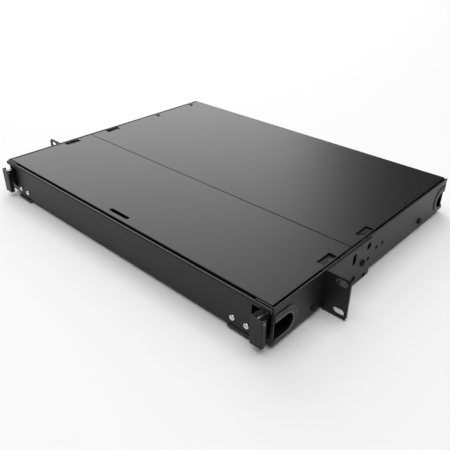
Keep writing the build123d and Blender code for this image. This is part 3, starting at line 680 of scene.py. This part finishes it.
class TERMBOX_OT_wing_nut(bpy.types.Operator):
    """Cast the wing nut of the splice tray as one smooth subdivided body"""

    bl_idname = "termbox.wing_nut"
    bl_label = "Wing nut"

    def execute(self, context):
        box = context.scene.termination_box
        low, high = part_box("tray_wing_nut")
        nut = mesh_piece("cast_wing_nut", cast_wing_nut(low, high))
        nut.data.materials.append(bare_metal("wing_nut_zinc", box.metal.zinc, 0.38, (1.0, 1.0, 1.0)))
        smooth = nut.modifiers.new("Smooth", "SUBSURF")
        smooth.levels = smooth.render_levels = NUT_SMOOTHING
        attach(nut, "chassis")
        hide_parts("tray_wing_nut")
        return {"FINISHED"}


class TERMBOX_OT_ports(bpy.types.Operator):
    """Finish the castellated edging of the side ports, with painted shade on the walls of the slots
    between its teeth
    """

    bl_idname = "termbox.ports"
    bl_label = "Port grommets"

    def execute(self, context):
        box = context.scene.termination_box
        # The grommet teeth get painted shade, nearly black, on the walls of the slots between them
        nylon = moulded("grommet_nylon_slot_shade", lighter(box.moulding.black, 0.08), 0.42, painted_slot_shade=0.98)
        paint_nodes(nylon, *sides("front_port_grommet"), *sides("rear_port_grommet"))
        return {"FINISHED"}


class TERMBOX_OT_latches(bpy.types.Operator):
    """Finish the sliding cover latches and the adapter plungers"""

    bl_idname = "termbox.latches"
    bl_label = "Latches and plungers"

    def execute(self, context):
        box = context.scene.termination_box
        latch = moulded("latch_acetal", box.moulding.black, 0.50, 0.6 * MM)
        paint_nodes(latch, *sides("front_cover_latch"), *sides("rear_cover_latch"))
        knob = moulded("plunger_nylon", box.moulding.black, 0.40)
        for plate in ("left", "middle", "right"):
            paint_nodes(knob, *sides(f"plunger_{plate}_plate"))
        return {"FINISHED"}


class TERMBOX_OT_adapters(bpy.types.Operator):
    """Finish the duplex adapters and their dust caps"""

    bl_idname = "termbox.adapters"
    bl_label = "Adapters and caps"

    def execute(self, context):
        box = context.scene.termination_box
        body = moulded("adapter_blue", box.moulding.adapter, 0.30, 0.35 * MM)
        paint_nodes(body, "adapters_left", "adapters_middle", "adapters_right")
        cap = moulded("cap_soft", box.moulding.cap, 0.48, 0.8 * MM, soft=0.35)
        paint_nodes(cap, "dust_caps")
        return {"FINISHED"}


class TERMBOX_OT_fibre_management(bpy.types.Operator):
    """Finish the bend guides, the splice tray, its lid and its holders"""

    bl_idname = "termbox.fibre_management"
    bl_label = "Splice tray and guides"

    def execute(self, context):
        box = context.scene.termination_box
        guide = moulded("guide_black", lighter(box.moulding.black, 0.01), 0.52, 0.9 * MM)
        paint_nodes(guide, "front_fibre_guides", "rear_fibre_guides")
        paint_nodes(moulded("tray_grey", box.moulding.tray, 0.46, 0.8 * MM), "splice_tray")
        paint_nodes(smoked_lid("lid_smoked", box.moulding.lid_alpha), "splice_tray_lid")
        holder = moulded("holder_white", box.moulding.holder, 0.55, 0.7 * MM, soft=0.2)
        paint_nodes(holder, "splice_holders")
        return {"FINISHED"}


class TERMBOX_OT_ground(bpy.types.Operator):
    """Finish the brass ground stud, its washer and its nut"""

    bl_idname = "termbox.ground"
    bl_label = "Ground stud"

    def execute(self, context):
        box = context.scene.termination_box
        brass = bare_metal("ground_brass", box.metal.brass, 0.30, (1.0, 1.0, 0.06), 0.4)
        paint_nodes(brass, "ground_stud", "ground_nut_and_washer")
        return {"FINISHED"}


class TERMBOX_OT_stage(bpy.types.Operator):
    """Lay the floor, hang the soft boxes and set up the camera"""

    bl_idname = "termbox.stage"
    bl_label = "Stage"

    def execute(self, context):
        box = context.scene.termination_box
        studio = box.studio
        lay_floor(studio)
        hang_lamp("key_lamp", studio.key_power, **KEY_LAMP)
        hang_lamp("top_lamp", studio.top_power, **TOP_LAMP)
        hang_lamp("fill_lamp", studio.fill_power, **FILL_LAMP)
        light_sky(studio.room_light)
        stand_camera(studio)
        return {"FINISHED"}


def lay_floor(studio):
    """A wide sheet of pale paper under the box. It fades into the white room far away."""
    ground = Matrix.Translation((0.0, 0.0, CAD_BOX[0].z))
    shape = bmesh.new()
    bmesh.ops.create_grid(shape, x_segments=60, y_segments=60, size=studio.floor_half, matrix=ground)
    mesh = bpy.data.meshes.new("floor")
    shape.to_mesh(mesh)
    shape.free()
    floor = bpy.data.objects.new("floor", mesh)
    bpy.context.scene.collection.objects.link(floor)
    paper = Finish("floor_paper", Specular_IOR_Level=0.1)
    fibres = paper.noise(2 * MM, 4.0)
    cloud = paper.noise(0.6, 2.0)
    colour = paper.mix(darker(studio.floor_colour, 0.02), studio.floor_colour, cloud)
    length = paper.node("ShaderNodeVectorMath", {"operation": "LENGTH"}, {0: paper.place})
    reach = Value(paper, length.outputs["Value"]) * (1.0 / studio.floor_half)
    paper.feed(paper.shader.inputs["Alpha"], paper.stops(reach, *FLOOR_FADE))
    mesh.materials.append(paper.done(colour, 0.85 + fibres * 0.1, paper.relief(fibres, 0.02 * MM)))


def away(azimuth, elevation):
    """The direction from the box to a place round it. Azimuth 0 is in front, 90 to the right."""
    around = math.radians(azimuth)
    rise = math.radians(elevation)
    level = Vector((math.sin(around), -math.cos(around), 0.0))
    return level * math.cos(rise) + Vector((0.0, 0.0, math.sin(rise)))


def hang_lamp(name, power, size, azimuth, elevation, distance):
    """A soft box that faces the middle of the box and isn't seen itself."""
    centre = (CAD_BOX[0] + CAD_BOX[1]) / 2
    lamp = bpy.data.lights.new(name, "AREA")
    lamp.shape = "RECTANGLE"
    lamp.size, lamp.size_y = size
    lamp.energy = power
    holder = bpy.data.objects.new(name, lamp)
    direction = away(azimuth, elevation)
    holder.location = centre + direction * distance
    holder.rotation_euler = direction.to_track_quat("Z", "Y").to_euler()
    holder.visible_camera = False
    bpy.context.scene.collection.objects.link(holder)


def white_light(tree, strength):
    """A white background of a given strength."""
    light = tree.nodes.new("ShaderNodeBackground")
    light.inputs["Color"].default_value = (1.0, 1.0, 1.0, 1.0)
    light.inputs["Strength"].default_value = strength
    return light.outputs[0]


def light_sky(strength):
    """A dim even room, which the camera sees as white paper."""
    world = bpy.data.worlds.new("room")
    world.use_nodes = True
    tree = world.node_tree
    tree.nodes.clear()
    seen = tree.nodes.new("ShaderNodeLightPath")
    blend = tree.nodes.new("ShaderNodeMixShader")
    end = tree.nodes.new("ShaderNodeOutputWorld")
    tree.links.new(seen.outputs["Is Camera Ray"], blend.inputs[0])
    tree.links.new(white_light(tree, strength), blend.inputs[1])
    tree.links.new(white_light(tree, 1.0), blend.inputs[2])
    tree.links.new(blend.outputs[0], end.inputs["Surface"])
    bpy.context.scene.world = world


def stand_camera(studio):
    """The camera in front of the box, to its right and above it."""
    around = studio.camera_azimuth
    back = away(math.degrees(around), math.degrees(studio.camera_elevation))
    right = Vector((math.cos(around), math.sin(around), 0.0))
    up = back.cross(right)
    axes = Matrix((right, up, back)).transposed().to_4x4()
    data = bpy.data.cameras.new("camera")
    data.lens = studio.lens
    data.sensor_width = 36.0
    data.clip_start = 0.01
    data.clip_end = 100.0
    camera = bpy.data.objects.new("camera", data)
    camera.matrix_world = Matrix.Translation(studio.camera_place) @ axes @ Matrix.Rotation(
        studio.camera_roll, 4, "Z")
    scene = bpy.context.scene
    scene.collection.objects.link(camera)
    scene.camera = camera
    scene.view_settings.view_transform = "Standard"


OPERATORS = (
    TERMBOX_OT_chassis,
    TERMBOX_OT_covers,
    TERMBOX_OT_door,
    TERMBOX_OT_hinges,
    TERMBOX_OT_guards,
    TERMBOX_OT_ears,
    TERMBOX_OT_fasteners,
    TERMBOX_OT_rivets,
    TERMBOX_OT_wing_nut,
    TERMBOX_OT_ports,
    TERMBOX_OT_latches,
    TERMBOX_OT_adapters,
    TERMBOX_OT_fibre_management,
    TERMBOX_OT_ground,
    TERMBOX_OT_stage,
)


class TERMBOX_PT_panel(bpy.types.Panel):
    """The buttons and settings in the sidebar"""

    bl_idname = "TERMBOX_PT_panel"
    bl_label = "Termination Box"
    bl_space_type = "VIEW_3D"
    bl_region_type = "UI"
    bl_category = "Termination Box"

    def draw(self, context):
        box = context.scene.termination_box
        for operator in OPERATORS:
            self.layout.operator(operator.bl_idname)
        for group in (box.paint, box.moulding, box.metal, box.studio):
            column = self.layout.box().column()
            for name in group.__annotations__:
                column.prop(group, name)


SETTINGS = (PaintSettings, MouldingSettings, MetalSettings, StudioSettings, BoxSettings)
CLASSES = (*SETTINGS, *OPERATORS, TERMBOX_PT_panel)


def register():
    for cls in CLASSES:
        bpy.utils.register_class(cls)
    bpy.types.Scene.termination_box = PointerProperty(
        type=BoxSettings, name="Termination box", description="Settings of the termination box")


def unregister():
    del bpy.types.Scene.termination_box
    for cls in reversed(CLASSES):
        bpy.utils.unregister_class(cls)


def main():
    register()
    for operator in OPERATORS:
        group, name = operator.bl_idname.split(".")
        getattr(getattr(bpy.ops, group), name)()


if __name__ == "__main__":
    main()
